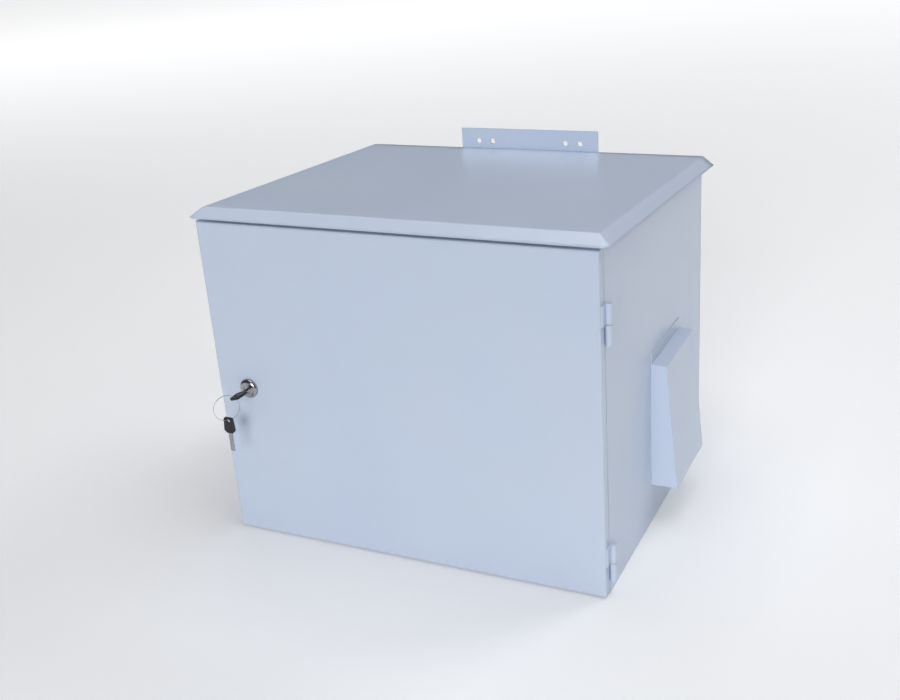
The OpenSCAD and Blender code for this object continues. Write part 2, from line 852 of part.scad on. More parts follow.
clamp_lip = 8;
module filter_clamp() {
    z0 = sheet_t;
    wall_x = filter_w / 2 + sheet_t;
    wall_y = filter_d / 2 + sheet_t;
    color(zinc) translate([intake_x, intake_y, 0]) difference() {
        union() {
            box([-wall_x, -wall_y, z0], [wall_x, wall_y, z0 + filter_t + sheet_t]);
            box([-wall_x - clamp_foot, -wall_y, z0], [wall_x + clamp_foot, wall_y, z0 + sheet_t]);
        }
        box([-filter_w / 2, -filter_d / 2, z0 - 1], [filter_w / 2, filter_d / 2, z0 + filter_t]);
        box(
            [-filter_w / 2 + clamp_lip, -filter_d / 2 + clamp_lip, z0],
            [filter_w / 2 - clamp_lip, filter_d / 2 - clamp_lip, z0 + filter_t + 2 * sheet_t]
        );
        translate([-intake_x, -intake_y, 0]) at_filter_screws() cylinder(h = 4 * sheet_t, d = clamp_screw_hole);
    }
}

// A pan head screw standing in the base; its head rests at height z.
module base_screw(z) {
    translate([0, 0, z]) cylinder(h = m4_head_h, d = m4_head_d);
    translate([0, 0, seat_gap]) cylinder(h = z, d = m4_d);
}
module filter_screws() {
    color(zinc) at_filter_screws() base_screw(2 * sheet_t);
}

// ---- Equipment plate, cable entry and earth ----

module equipment_plate() {
    y1 = back_y - sheet_t - plate_gap;
    color(zinc) difference() {
        box([-plate_w / 2, y1 - plate_t, plate_mid_z - plate_h / 2], [plate_w / 2, y1, plate_mid_z + plate_h / 2]);
        at_plate_studs(y1 - 2 * plate_t) cylinder(h = 3 * plate_t, d = m6_hole);
    }
}
module plate_studs() {
    length = plate_gap + plate_t + m6_nut_h + 3;
    color(steel) at_plate_studs(back_y - sheet_t - length) cylinder(h = length, d = m6_d);
}
module plate_spacers() {
    color(zinc) at_plate_studs(back_y - sheet_t - plate_gap) difference() {
        cylinder(h = plate_gap, d = 12);
        translate([0, 0, -1]) cylinder(h = plate_gap + 2, d = m6_hole);
    }
}
module plate_nuts() {
    color(zinc) at_plate_studs(back_y - sheet_t - plate_gap - plate_t - m6_nut_h) nut(m6_flats, m6_nut_h, m6_d);
}

module gland_plate() {
    w = cable_w + 2 * gland_margin;
    d = cable_d + 2 * gland_margin;
    color(zinc) difference() {
        translate([-w / 2, cable_y - d / 2, sheet_t]) cube([w, d, gland_t]);
        at_grommets() cylinder(h = sheet_t + gland_t + 1, d = grommet_hole);
        at_gland_screws() cylinder(h = sheet_t + gland_t + 1, d = gland_screw_hole);
    }
}
module cable_grommets() {
    lip = 1.2;
    color(black) at_grommets() translate([0, 0, sheet_t]) rotate_extrude() polygon([
        [cable_bore / 2, -lip], [grommet_rim / 2, -lip], [grommet_rim / 2, 0], [grommet_hole / 2, 0],
        [grommet_hole / 2, gland_t], [grommet_rim / 2, gland_t], [grommet_rim / 2, gland_t + lip],
        [cable_bore / 2, gland_t + 2 * lip]
    ]);
}
module gland_screws() {
    color(zinc) at_gland_screws() base_screw(sheet_t + gland_t);
}

earth_x = -half_w + earth_in;
earth_y = intake_y + 110;
earth_l = 26;
module earth_stud() {
    color(steel) translate([earth_x, earth_y, sheet_t]) cylinder(h = earth_l, d = m8_d);
}
module earth_nuts() {
    color(zinc) for (z = [sheet_t, sheet_t + m8_nut_h + 4])
        translate([earth_x, earth_y, z]) nut(m8_flats, m8_nut_h, m8_d);
}

// ---- Rear brackets ----

standoff = top_len * cos(roof_fall) + roof_back * cos(roof_fall) - body_d + (roof_gap + sheet_t) * sin(roof_fall) + 0.3;
plate_y = back_y + standoff;
module bracket() {
    low = bracket_top - bracket_h;
    color(paint) difference() {
        union() {
            box([-bracket_w / 2, plate_y, low], [bracket_w / 2, plate_y + bracket_t, bracket_top]);
            box([-bracket_w / 2, back_y, low], [bracket_w / 2, plate_y + bracket_t, low + bracket_t]);
            box([-bracket_w / 2, back_y, low - bracket_foot], [bracket_w / 2, back_y + bracket_t, low + bracket_t]);
        }
        for (x = [hole_span_outer / 2, hole_span_inner / 2], s = [-1, 1])
            translate([s * x, plate_y - 1, bracket_top - hole_edge]) rotate([-90, 0, 0])
                cylinder(h = bracket_t + 2, d = bracket_hole);
        for (x = [-bolt_x, bolt_x])
            translate([x, back_y - 1, bolt_up]) rotate([-90, 0, 0]) cylinder(h = bracket_t + 2, d = m8_hole);
    }
}
module upper_bracket() {
    bracket();
}
module lower_bracket() {
    translate([0, 0, bracket_mirror]) mirror([0, 0, 1]) bracket();
}
module bracket_bolts() {
    length = bracket_t + sheet_t + m8_nut_h + 2;
    color(zinc) at_bracket_bolts(back_y + bracket_t) {
        hexagon(m8_flats, m8_head_h);
        translate([0, 0, -length]) cylinder(h = length + eps, d = m8_d);
    }
}
module bracket_nuts() {
    color(zinc) at_bracket_bolts(back_y - sheet_t - m8_nut_h) nut(m8_flats, m8_nut_h, m8_d);
}

left_side_panel();
right_side_panel();
back_panel();
base_panel();
top_panel();
front_frame();
frame_lip();
roof();
roof_rims();
roof_studs();
roof_spacers();
roof_nuts();
door_leaf();
door_stiffener();
door_seal();
at_hinge(hinge_top_z) hinge_door_half();  // upper_hinge_door_half
at_hinge(hinge_top_z) hinge_body_half();  // upper_hinge_body_half
at_hinge(hinge_top_z) hinge_pin();  // upper_hinge_pin
at_hinge(hinge_top_z) hinge_washer();  // upper_hinge_washer
at_hinge(hinge_low_z) hinge_door_half();  // lower_hinge_door_half
at_hinge(hinge_low_z) hinge_body_half();  // lower_hinge_body_half
at_hinge(hinge_low_z) hinge_pin();  // lower_hinge_pin
at_hinge(hinge_low_z) hinge_washer();  // lower_hinge_washer
lock_housing();
lock_nut();
lock_cylinder();
lock_cam();
cam_screw();
in_lock() key_blade();
in_lock() key_head();
key_ring();
on_ring() key_blade();  // spare_key_blade
on_ring() key_head();  // spare_key_head
vent_hood();
hood_rivets();
fan_frame();
fan_impeller();
fan_guard();
fan_screws();
fan_nuts();
intake_filter();
filter_clamp();
filter_screws();
equipment_plate();
plate_studs();
plate_spacers();
plate_nuts();
gland_plate();
cable_grommets();
gland_screws();
upper_bracket();
lower_bracket();
bracket_bolts();
bracket_nuts();
earth_stud();
earth_nuts();
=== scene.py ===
import json
import math
import bmesh
import bpy
import numpy as np
from mathutils import Matrix, Vector


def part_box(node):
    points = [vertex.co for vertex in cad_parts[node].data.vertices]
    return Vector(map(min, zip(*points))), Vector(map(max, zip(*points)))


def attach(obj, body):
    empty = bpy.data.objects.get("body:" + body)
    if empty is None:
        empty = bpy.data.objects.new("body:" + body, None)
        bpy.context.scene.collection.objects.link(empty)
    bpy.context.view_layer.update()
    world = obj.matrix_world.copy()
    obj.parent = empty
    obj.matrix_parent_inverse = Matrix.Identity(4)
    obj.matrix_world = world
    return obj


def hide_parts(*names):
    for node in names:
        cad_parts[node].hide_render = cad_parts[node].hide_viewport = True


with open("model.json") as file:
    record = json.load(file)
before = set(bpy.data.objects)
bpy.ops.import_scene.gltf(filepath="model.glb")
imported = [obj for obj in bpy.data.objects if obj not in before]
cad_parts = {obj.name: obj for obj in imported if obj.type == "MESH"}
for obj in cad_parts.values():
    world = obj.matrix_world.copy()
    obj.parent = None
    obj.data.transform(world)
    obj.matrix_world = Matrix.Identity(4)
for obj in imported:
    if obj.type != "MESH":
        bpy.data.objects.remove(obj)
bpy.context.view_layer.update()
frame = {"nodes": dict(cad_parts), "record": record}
nodes = frame["nodes"]
print("frame loaded:", len(nodes), "nodes")

mm = 0.001


class Wire:
    # wraps one output socket, so that sums and products add their own Math nodes
    def __init__(self, tree, socket=None):
        self.tree = tree
        self.socket = socket

    # any node: its type, its settings (set first), then its input values or links
    def make(self, kind, settings=None, inputs=None, out=0):
        node = self.tree.nodes.new(kind)
        for key, value in (settings or {}).items():
            if key == "stops":
                self.setStops(node.color_ramp, value)
            else:
                setattr(node, key, value)
        for key, value in (inputs or {}).items():
            if isinstance(value, Wire):
                self.tree.links.new(value.socket, node.inputs[key])
            else:
                node.inputs[key].default_value = value
        return Wire(self.tree, node.outputs[out])

    def setStops(self, ramp, stops):
        while len(ramp.elements) < len(stops):
            ramp.elements.new(0.5)
        for element, (place, level) in zip(ramp.elements, stops):
            element.position = place
            element.color = (level, level, level, 1)

    def maths(self, operation, a, b):
        return self.make("ShaderNodeMath", {"operation": operation}, {0: a, 1: b})

    def __add__(self, other):
        return self.maths("ADD", self, other)

    def __radd__(self, other):
        return self.maths("ADD", other, self)

    def __mul__(self, other):
        return self.maths("MULTIPLY", self, other)

    def __rmul__(self, other):
        return self.maths("MULTIPLY", other, self)

    # two colours mixed by a factor
    def blend(self, factor, first, second):
        return self.make(
            "ShaderNodeMix", {"data_type": "RGBA"}, {0: factor, 6: rgba(first), 7: rgba(second)}, 2
        )

    def noise(self, where, scale, detail=2.0, roughness=0.5):
        return self.make(
            "ShaderNodeTexNoise",
            {"noise_dimensions": "3D"},
            {"Vector": where, "Scale": scale, "Detail": detail, "Roughness": roughness},
        )

    def ramp(self, value, *stops):
        return self.make("ShaderNodeValToRGB", {"stops": stops}, {"Fac": value})

    def bump(self, height, distance, normal=None):
        inputs = {"Height": height, "Distance": distance, "Strength": 1.0}
        if normal is not None:
            inputs["Normal"] = normal
        return self.make("ShaderNodeBump", None, inputs)


def rgba(colour):
    return colour if isinstance(colour, Wire) else (*colour, 1)


# a material, its wire kit, its Object coordinates and the shader that the finish fills in
def startFinish(name, colour, roughness, metallic=0.0, ior=1.5):
    material = bpy.data.materials.new(name)
    material.use_nodes = True
    tree = material.node_tree
    shader = tree.nodes["Principled BSDF"]
    shader.inputs["Base Color"].default_value = (*colour, 1)
    shader.inputs["Roughness"].default_value = roughness
    shader.inputs["Metallic"].default_value = metallic
    shader.inputs["IOR"].default_value = ior
    kit = Wire(tree)
    return material, kit, kit.make("ShaderNodeTexCoord", out="Object"), shader


# links each wire to the shader's socket of that name
def plug(kit, shader, wires):
    for key, wire in wires.items():
        kit.tree.links.new(wire.socket, shader.inputs[key])


# coordinates scaled along each axis, for a grain that runs one way
def stretched(kit, where, scale):
    return kit.make("ShaderNodeMapping", None, {"Vector": where, "Scale": scale})


# the normal turned round every edge within a radius, as paint and wear soften it
def rounded(kit, radius):
    return kit.make("ShaderNodeBevel", {"samples": 4}, {"Radius": radius})


paintLook = {
    "cool": (0.560, 0.640, 0.795),  # the two tones that the paint drifts between
    "pale": (0.590, 0.675, 0.805),
    "roughness": 0.25,
    "peel": 650.0,        # bumps to the metre of the orange peel
    "peelHeight": 0.000012,
    "warp": 4.5,          # slow waves of the sheet
    "warpHeight": 0.0011,
    "fold": 0.0011,       # radius that softens the folds
    "fleck": (0.70, 0.76, 0.85),
    "fleckGrain": 420.0,
    "cloudGrain": 14.0,
    "toneGrain": 3.2,     # size of the slow change between the two tones
}


# Two pale tones drift into each other over the sheet, with fine flecks. The normal carries the
# slow waves of thin sheet and then the orange peel of the coat.
def powderCoat(name, look):
    material, kit, where, shader = startFinish(name, look["pale"], look["roughness"])
    slow = kit.noise(where, look["toneGrain"], 2.0)
    cloud = kit.noise(where, look["cloudGrain"], 4.0, 0.6)
    fleck = kit.noise(where, look["fleckGrain"], 1.0)
    tone = kit.ramp(slow, (0.34, 0.0), (0.66, 1.0)) * 0.75 + cloud * 0.25
    colour = kit.blend(tone, look["cool"], look["pale"])
    flecked = kit.blend(kit.ramp(fleck, (0.62, 0.0), (0.80, 0.16)), colour, look["fleck"])
    peel = kit.noise(where, look["peel"], 2.0, 0.4)
    warp = kit.noise(stretched(kit, where, (1.0, 1.0, 0.7)), look["warp"], 1.0, 0.3)
    normal = kit.bump(warp, look["warpHeight"], rounded(kit, look["fold"]))
    normal = kit.bump(peel, look["peelHeight"], normal)
    plug(kit, shader, {
        "Base Color": flecked,
        "Roughness": look["roughness"] + cloud * 0.06 + fleck * 0.03,
        "Normal": normal,
    })
    return material


metalLook = {
    "run": (1.0, 1.0, 14.0),  # stretch of the brushed grain along each axis
    "dullGrain": 35.0,
    "dullTone": 0.72,         # how dark the dull patches are against the bright metal
    "crystalGrain": 95.0,
    "crystalTone": 1.25,
    "edge": 0.3 * mm,         # radius that softens the edges
}
zincLook = {
    "colour": (0.62, 0.63, 0.65), "roughness": 0.34, "grain": 120.0, "grainHeight": 0.00002, "spangle": 0.35,
}
steelLook = {
    "colour": (0.52, 0.52, 0.54), "roughness": 0.28, "grain": 260.0, "grainHeight": 0.00003, "spangle": 0,
}
chromeLook = {
    "colour": (0.46, 0.46, 0.49), "roughness": 0.10, "grain": 90.0, "grainHeight": 0.000004, "spangle": 0,
}


# Metal with a fine brushed grain, dull patches and, where spangle is above nothing, crystals of zinc.
def platedMetal(name, look):
    colour, roughness = look["colour"], look["roughness"]
    material, kit, where, shader = startFinish(name, colour, roughness, 1.0)
    brushed = kit.noise(stretched(kit, where, metalLook["run"]), look["grain"], 3.0, 0.6)
    dulled = kit.noise(where, metalLook["dullGrain"], 3.0)
    darker = tuple(c * metalLook["dullTone"] for c in colour)
    shade = kit.blend(kit.ramp(dulled, (0.35, 0.0), (0.70, 1.0)), darker, colour)
    if look["spangle"]:
        crystal = kit.make(
            "ShaderNodeTexVoronoi", {"feature": "F1"},
            {"Vector": where, "Scale": metalLook["crystalGrain"]}, "Color",
        )
        level = kit.make("ShaderNodeSeparateColor", None, {"Color": crystal}) * look["spangle"]
        shade = kit.blend(level, shade, tuple(min(1, c * metalLook["crystalTone"]) for c in colour))
    plug(kit, shader, {
        "Base Color": shade,
        "Roughness": roughness + brushed * 0.12 + dulled * 0.08,
        "Normal": kit.bump(brushed, look["grainHeight"], rounded(kit, metalLook["edge"])),
    })
    return material


keyPlasticLook = {
    "colour": (0.016, 0.014, 0.020), "roughness": 0.34, "grain": 1100.0, "grainHeight": 0.00002,
}
fanPlasticLook = {
    "colour": (0.022, 0.022, 0.024), "roughness": 0.48, "grain": 700.0, "grainHeight": 0.00004,
}


# Dark plastic with the mould's texture, rubbed paler in places.
def mouldedPlastic(name, look):
    colour, roughness = look["colour"], look["roughness"]
    material, kit, where, shader = startFinish(name, colour, roughness, ior=1.46)
    texture = kit.noise(where, look["grain"], 3.0, 0.55)
    rubbed = kit.noise(where, 60.0, 4.0, 0.6)
    worn = tuple(c * 2.2 + 0.01 for c in colour)
    plug(kit, shader, {
        "Base Color": kit.blend(kit.ramp(rubbed, (0.52, 0.0), (0.78, 0.55)), colour, worn),
        "Roughness": roughness + rubbed * 0.16,
        "Normal": kit.bump(texture, look["grainHeight"], rounded(kit, 0.4 * mm)),
    })
    return material


foamLook = {"colour": (0.024, 0.024, 0.026), "cells": 900.0, "cellDepth": 0.4 * mm, "patches": 40.0}


# Closed cells as small pits, in uneven black.
def foamRubber(name, look):
    colour = look["colour"]
    material, kit, where, shader = startFinish(name, colour, 0.85, ior=1.4)
    cells = kit.make(
        "ShaderNodeTexVoronoi", {"feature": "F1"}, {"Vector": where, "Scale": look["cells"]}, "Distance"
    )
    patch = kit.noise(where, look["patches"], 3.0)
    plug(kit, shader, {
        "Base Color": kit.blend(patch, colour, tuple(c * 1.7 for c in colour)),
        "Roughness": 0.78 + patch * 0.16,
        "Normal": kit.bump(cells, look["cellDepth"]),
    })
    return material


fleeceLook = {
    "white": (0.80, 0.83, 0.84),
    "dusty": (0.50, 0.50, 0.47),
    "run": (1.0, 5.0, 1.0),   # the fibres run across the pad
    "fibres": 260.0,
    "fibreHeight": 0.9 * mm,
    "dust": 30.0,
}


# White fibres with grey dust in patches.
def filterFleece(name, look):
    material, kit, where, shader = startFinish(name, look["white"], 0.95)
    fibre = kit.noise(stretched(kit, where, look["run"]), look["fibres"], 4.0, 0.7)
    dust = kit.noise(where, look["dust"], 3.0)
    plug(kit, shader, {
        "Base Color": kit.blend(kit.ramp(dust, (0.45, 0.0), (0.8, 0.5)), look["white"], look["dusty"]),
        "Roughness": 0.86 + fibre * 0.12,
        "Normal": kit.bump(fibre, look["fibreHeight"]),
    })
    return material


# one finish for each of the record's material slots
finishes = {
    "cabinet_paint": powderCoat("paleBluePowderCoat", paintLook),
    "zinc_steel": platedMetal("zincPlate", zincLook),
    "plain_steel": platedMetal("turnedSteel", steelLook),
    "lock_chrome": platedMetal("polishedChrome", chromeLook),
    "key_plastic": mouldedPlastic("blackKeyPlastic", keyPlasticLook),
    "fan_plastic": mouldedPlastic("blackFanPlastic", fanPlasticLook),
    "seal_rubber": foamRubber("blackSealFoam", foamLook),
    "filter_fleece": filterFleece("whiteFilterFleece", fleeceLook),
}
for row in frame["record"]["subparts"]:
    cadMesh = nodes[row["node"]].data
    cadMesh.materials.clear()
    cadMesh.materials.append(finishes[row["material_slot"]])
print("finishes made:", len(finishes))


# a grid of points, rows by columns, as quads; either way may close on itself
def gridMesh(name, points, closeRows=False, closeColumns=False, caps=False):
    rows, columns = points.shape[:2]
    index = np.arange(rows * columns).reshape(rows, columns)
    if closeRows:
        index = np.concatenate([index, index[:1]], 0)
    if closeColumns:
        index = np.concatenate([index, index[:, :1]], 1)
    quads = np.stack([index[:-1, :-1], index[:-1, 1:], index[1:, 1:], index[1:, :-1]], -1)
    faces = quads.reshape(-1, 4).tolist()
    if caps:
        faces += [index[0, :columns].tolist()[::-1], index[-1, :columns].tolist()]
    mesh = bpy.data.meshes.new(name)
    mesh.from_pydata(points.reshape(-1, 3).tolist(), [], faces)
    return mesh


# doubles merged, faces turned outwards, and smooth up to the given angle
def tidyMesh(mesh, angle=30.0):
    loose = bmesh.new()
    loose.from_mesh(mesh)
    bmesh.ops.remove_doubles(loose, verts=loose.verts, dist=1e-6)
    bmesh.ops.recalc_face_normals(loose, faces=loose.faces)
    loose.to_mesh(mesh)
    loose.free()
    mesh.polygons.foreach_set("use_smooth", [True] * len(mesh.polygons))
    mesh.set_sharp_from_angle(angle=math.radians(angle))
    mesh.update()


def addPiece(name, mesh, slot, body, replaced=()):
    piece = bpy.data.objects.new(name, mesh)
    bpy.context.scene.collection.objects.link(piece)
    mesh.materials.append(finishes[slot])
    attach(piece, body)
    if replaced:
        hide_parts(*replaced)
    return piece


def joined(name, meshes):
    together = bmesh.new()
    for part in meshes:
        together.from_mesh(part)
    mesh = bpy.data.meshes.new(name)
    together.to_mesh(mesh)
    together.free()
    return mesh


# a round section carried along a path, with the section turned to stay square to it;
# radius may be one number or one for each point
def tubeMesh(name, path, radius, sides=12, closed=False):
    path = np.asarray(path, float)
    ahead = np.roll(path, -1, 0) - np.roll(path, 1, 0) if closed else np.gradient(path, axis=0)
    ahead /= np.linalg.norm(ahead, axis=1)[:, None]
    guide = np.array([0.31, 0.17, 0.94])
    across = np.cross(ahead, guide)
    across /= np.linalg.norm(across, axis=1)[:, None]
    upward = np.cross(across, ahead)
    turn = np.linspace(0, 2 * np.pi, sides, endpoint=False)
    ring = np.cos(turn)[None, :, None] * across[:, None] + np.sin(turn)[None, :, None] * upward[:, None]
    size = np.broadcast_to(np.asarray(radius, float), len(path))
    points = path[:, None] + ring * size[:, None, None]
    return gridMesh(name, points, closeRows=closed, closeColumns=True, caps=not closed)


roofSize = {
    "halfWidth": 300 * mm - 4.6 * mm,  # out to the side fold lines
    "front": -240 * mm,
    "carcassTop": 506 * mm,
    "deep": 480 * mm,     # of the carcass, and how far the sheet runs on behind it
    "behind": 25 * mm,
    "fall": math.radians(3.14),
    "gap": 8.8 * mm,
    "sheet": 1.5 * mm,
    "rimOut": 17.5 * mm,
    "rimDrop": 13.6 * mm,
    "bend": 2.4 * mm,     # how far each fold's curve reaches to either side
    "corner": 11 * mm,    # radius of the front corners at the rim's edge
    "belly": 0.5 * mm,    # how far the wide sheet sags between its studs
}


def roofFrame(size):
    return Matrix.Translation((0, size["front"], size["carcassTop"])) @ Matrix.Rotation(-size["fall"], 4, "X")


# The sheet is a nest of U shapes, each at one distance out from the fold lines. Its height is
# flat inside the fold, straight down the rim, and a parabola of the bend's width between them.
# Each U turns its front corners on an arc, whose radius grows from nothing at the fold to the
# corner radius at the rim's edge.
def roofSheet(size):
    half, bend = size["halfWidth"], size["bend"]
    length = size["deep"] / math.cos(size["fall"]) + size["behind"]
    inner = -half * np.cos(np.linspace(0, np.pi / 2, 22))[:-1]
    inner = inner[inner < -bend * 1.5]
    fold = np.linspace(-bend, bend, 9)
    rim = np.linspace(bend, size["rimOut"], 6)[1:]
    out = np.concatenate([inner, fold, rim])[:, None]
    ramp = np.where(out < -bend, 0, np.where(out > bend, out, (out + bend) ** 2 / (4 * bend)))
    height = size["gap"] + size["sheet"] - ramp * size["rimDrop"] / size["rimOut"]
    arc = size["corner"] * np.clip(out / size["rimOut"], 0.002, 1)
    share = np.linspace(0, 1, 25)[None, :]
    turn = np.linspace(0, np.pi / 2, 10)[None, 1:-1]
    x, y = half + out, -out
    sideY = length + (y + arc - length) * share
    quarterX, quarterY = x - arc + arc * np.cos(turn), y + arc - arc * np.sin(turn)
    frontX = (x - arc) * (1 - 2 * share)
    sideX = x + 0 * share
    gridX = np.concatenate([sideX, quarterX, frontX, -quarterX[:, ::-1], -sideX], 1)
    gridY = np.concatenate([sideY, quarterY, y + 0 * share, quarterY[:, ::-1], sideY[:, ::-1]], 1)
    deep = np.clip(gridY / length, 0, 1)
    inside = np.clip(1 - np.abs(gridX) / half, 0, 1) * deep * (1 - deep)
    sag = size["belly"] * np.clip(inside * 4, 0, 1) ** 1.5
    points = np.stack([gridX, gridY, height - sag], -1)
    mesh = gridMesh("roofSheet", points)
    mesh.transform(roofFrame(size))
    tidyMesh(mesh, 50)
    roof = addPiece("roofSheet", mesh, "cabinet_paint", "cabinet", ["roof", "roof_rims"])
    wall = roof.modifiers.new("sheet", "SOLIDIFY")
    wall.thickness = size["sheet"] * 0.98
    wall.offset = -1
    wall.use_even_offset = True
    return roof


roofSheet(roofSize)
print("roof made")


keySize = {
    "width": 18.6 * mm,
    "endWidth": 15 * mm,
    "neckWidth": 12 * mm,
    "length": 25 * mm,
    "neck": 2.4 * mm,
    "thick": 4 * mm,
    "hole": 3 * mm,       # its radius, and its middle's distance from the outer end
    "holeIn": 5 * mm,
    "corner": 1.6 * mm,
    "panel": 0.45 * mm,   # depth of the sunk panel in each face
    "panelEdge": 0.72,    # share of the face that the panel takes up
    "panelRim": 3 * mm,   # width of face that a full panel needs
    "step": 0.4 * mm,     # of the shoulder down to the neck
    "boxy": 0.28,         # 1 gives a round section, and less a squarer one
    "rays": 144,
    "around": 40,
}


# The head is a ring of sections around its hole. Along each ray the outline's distance is found,
# softened by a running mean, and the section between hole and outline is a rounded oblong
# whose faces dip over the middle of its width.
def keyHead(name, size, place, body, replaced):
    w, e, n = size["width"] / 2, size["endWidth"] / 2, size["neckWidth"] / 2  # half widths
    back, neck = -size["length"] + size["holeIn"], -size["length"] + size["neck"] + size["holeIn"]
    corner = size["corner"]
    tip = size["holeIn"]
    side = np.array([
        [0, tip], [e - corner, tip], [e, tip - corner], [w, neck + corner], [w - corner, neck],
        [n, neck - size["step"]], [n, back], [0, back],
    ])
    outline = np.concatenate([side, side[::-1] * [-1, 1]])
    turn = np.linspace(0, 2 * np.pi, size["rays"], endpoint=False)
    ray = np.stack([np.sin(turn), np.cos(turn)], -1)
    start, edge = outline, np.roll(outline, -1, 0) - outline
    cross = ray[:, None, 0] * edge[None, :, 1] - ray[:, None, 1] * edge[None, :, 0]
    cross = np.where(np.abs(cross) < 1e-12, 1e-12, cross)
    far = (start[None, :, 0] * edge[None, :, 1] - start[None, :, 1] * edge[None, :, 0]) / cross
    along = (start[None, :, 0] * ray[:, None, 1] - start[None, :, 1] * ray[:, None, 0]) / cross
    hit = (far > 0) & (along >= -1e-6) & (along <= 1 + 1e-6)
    reach = np.where(hit, far, 1).min(1)
    for smoothing in range(2):
        reach = (np.roll(reach, 1) + 2 * reach + np.roll(reach, -1)) / 4
    sweep = np.linspace(0, 2 * np.pi, size["around"], endpoint=False)
    boxy = size["boxy"]
    across = np.sign(np.cos(sweep)) * np.abs(np.cos(sweep)) ** boxy
    lift = np.sign(np.sin(sweep)) * np.abs(np.sin(sweep)) ** boxy
    middle = (reach + size["hole"]) / 2
    spread = (reach - size["hole"]) / 2
    radius = middle[:, None] + spread[:, None] * across[None]
    wide = np.clip(spread[:, None] / size["panelRim"] - 0.4, 0, 1)
    dip = np.clip(1 - (across / size["panelEdge"]) ** 6, 0, 1) * wide
    height = (size["thick"] / 2 - size["panel"] * dip) * lift[None]
    points = np.stack([ray[:, None, 0] * radius, height, ray[:, None, 1] * radius - size["holeIn"]], -1)
    mesh = gridMesh(name, points, closeRows=True, closeColumns=True)
    mesh.transform(place)
    tidyMesh(mesh, 70)
    return addPiece(name, mesh, "key_plastic", body, replaced)


keyTurn = math.radians(15)  # how far the key stands from upright in the lock
headLow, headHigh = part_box("key_head")
lockAxis = Vector(((headLow.x + headHigh.x) / 2, 0, (headLow.z + headHigh.z) / 2))
keyPlace = (
    Matrix.Translation((lockAxis.x, headLow.y, lockAxis.z))
    @ Matrix.Rotation(math.pi / 2, 4, "X")
    @ Matrix.Rotation(keyTurn, 4, "Z")
)
keyHead("doorKeyHead", keySize, keyPlace, "lock_core", ["key_head"])
spareLow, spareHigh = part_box("spare_key_head")
spareMiddle = (spareLow + spareHigh) / 2
sparePlace = Matrix.Translation((spareMiddle.x, spareMiddle.y, spareHigh.z))
keyHead("spareKeyHead", keySize, sparePlace, "spare_key", ["spare_key_head"])

ringLook = {
    "wire": 0.36 * mm,      # radius of the wire
    "inset": 0.6 * mm,      # from the ring's edge to the wire's middle
    "turns": 2,
    "turn": math.radians(40),
    "steps": 220,
}


# A split ring: a helix of two close turns, each wire beside the other.
def splitRing(look):
    low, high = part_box("key_ring")
    centre = (low + high) / 2
    radius = (high.z - low.z) / 2 - look["inset"]
    angle = np.linspace(0, 2 * np.pi * look["turns"], look["steps"])
    side = (angle / angle[-1] - 0.5) * look["wire"] * 2.2
    flat = np.stack([np.sin(angle) * radius, side, np.cos(angle) * radius], -1)
    mesh = tubeMesh("splitRing", flat, look["wire"], 10)
    mesh.transform(Matrix.Translation(centre) @ Matrix.Rotation(math.pi / 2 - look["turn"], 4, "Z"))
    tidyMesh(mesh, 60)
    return addPiece("splitRing", mesh, "plain_steel", "key_ring", ["key_ring"])


splitRing(ringLook)
print("keys made")


fanLook = {
    "blades": 7,
    "hub": 18 * mm,
    "tip": 55.2 * mm,
    "rootPitch": 48,
    "tipPitch": 26,
    "chord": 25 * mm,
    "thick": 1.9 * mm,
    "camber": 0.10,       # height of each blade's curve, as a share of its chord
    "sweep": 0.22,        # how far the tips lead, in radians
    "sunk": 1.5 * mm,     # how far the blades reach into the hub
    "clear": 0.4 * mm,    # from the blades' edges to the hub's ends
    "setBack": 7 * mm,    # of the hub's cup from the shaft's end
    "sides": 64,
}


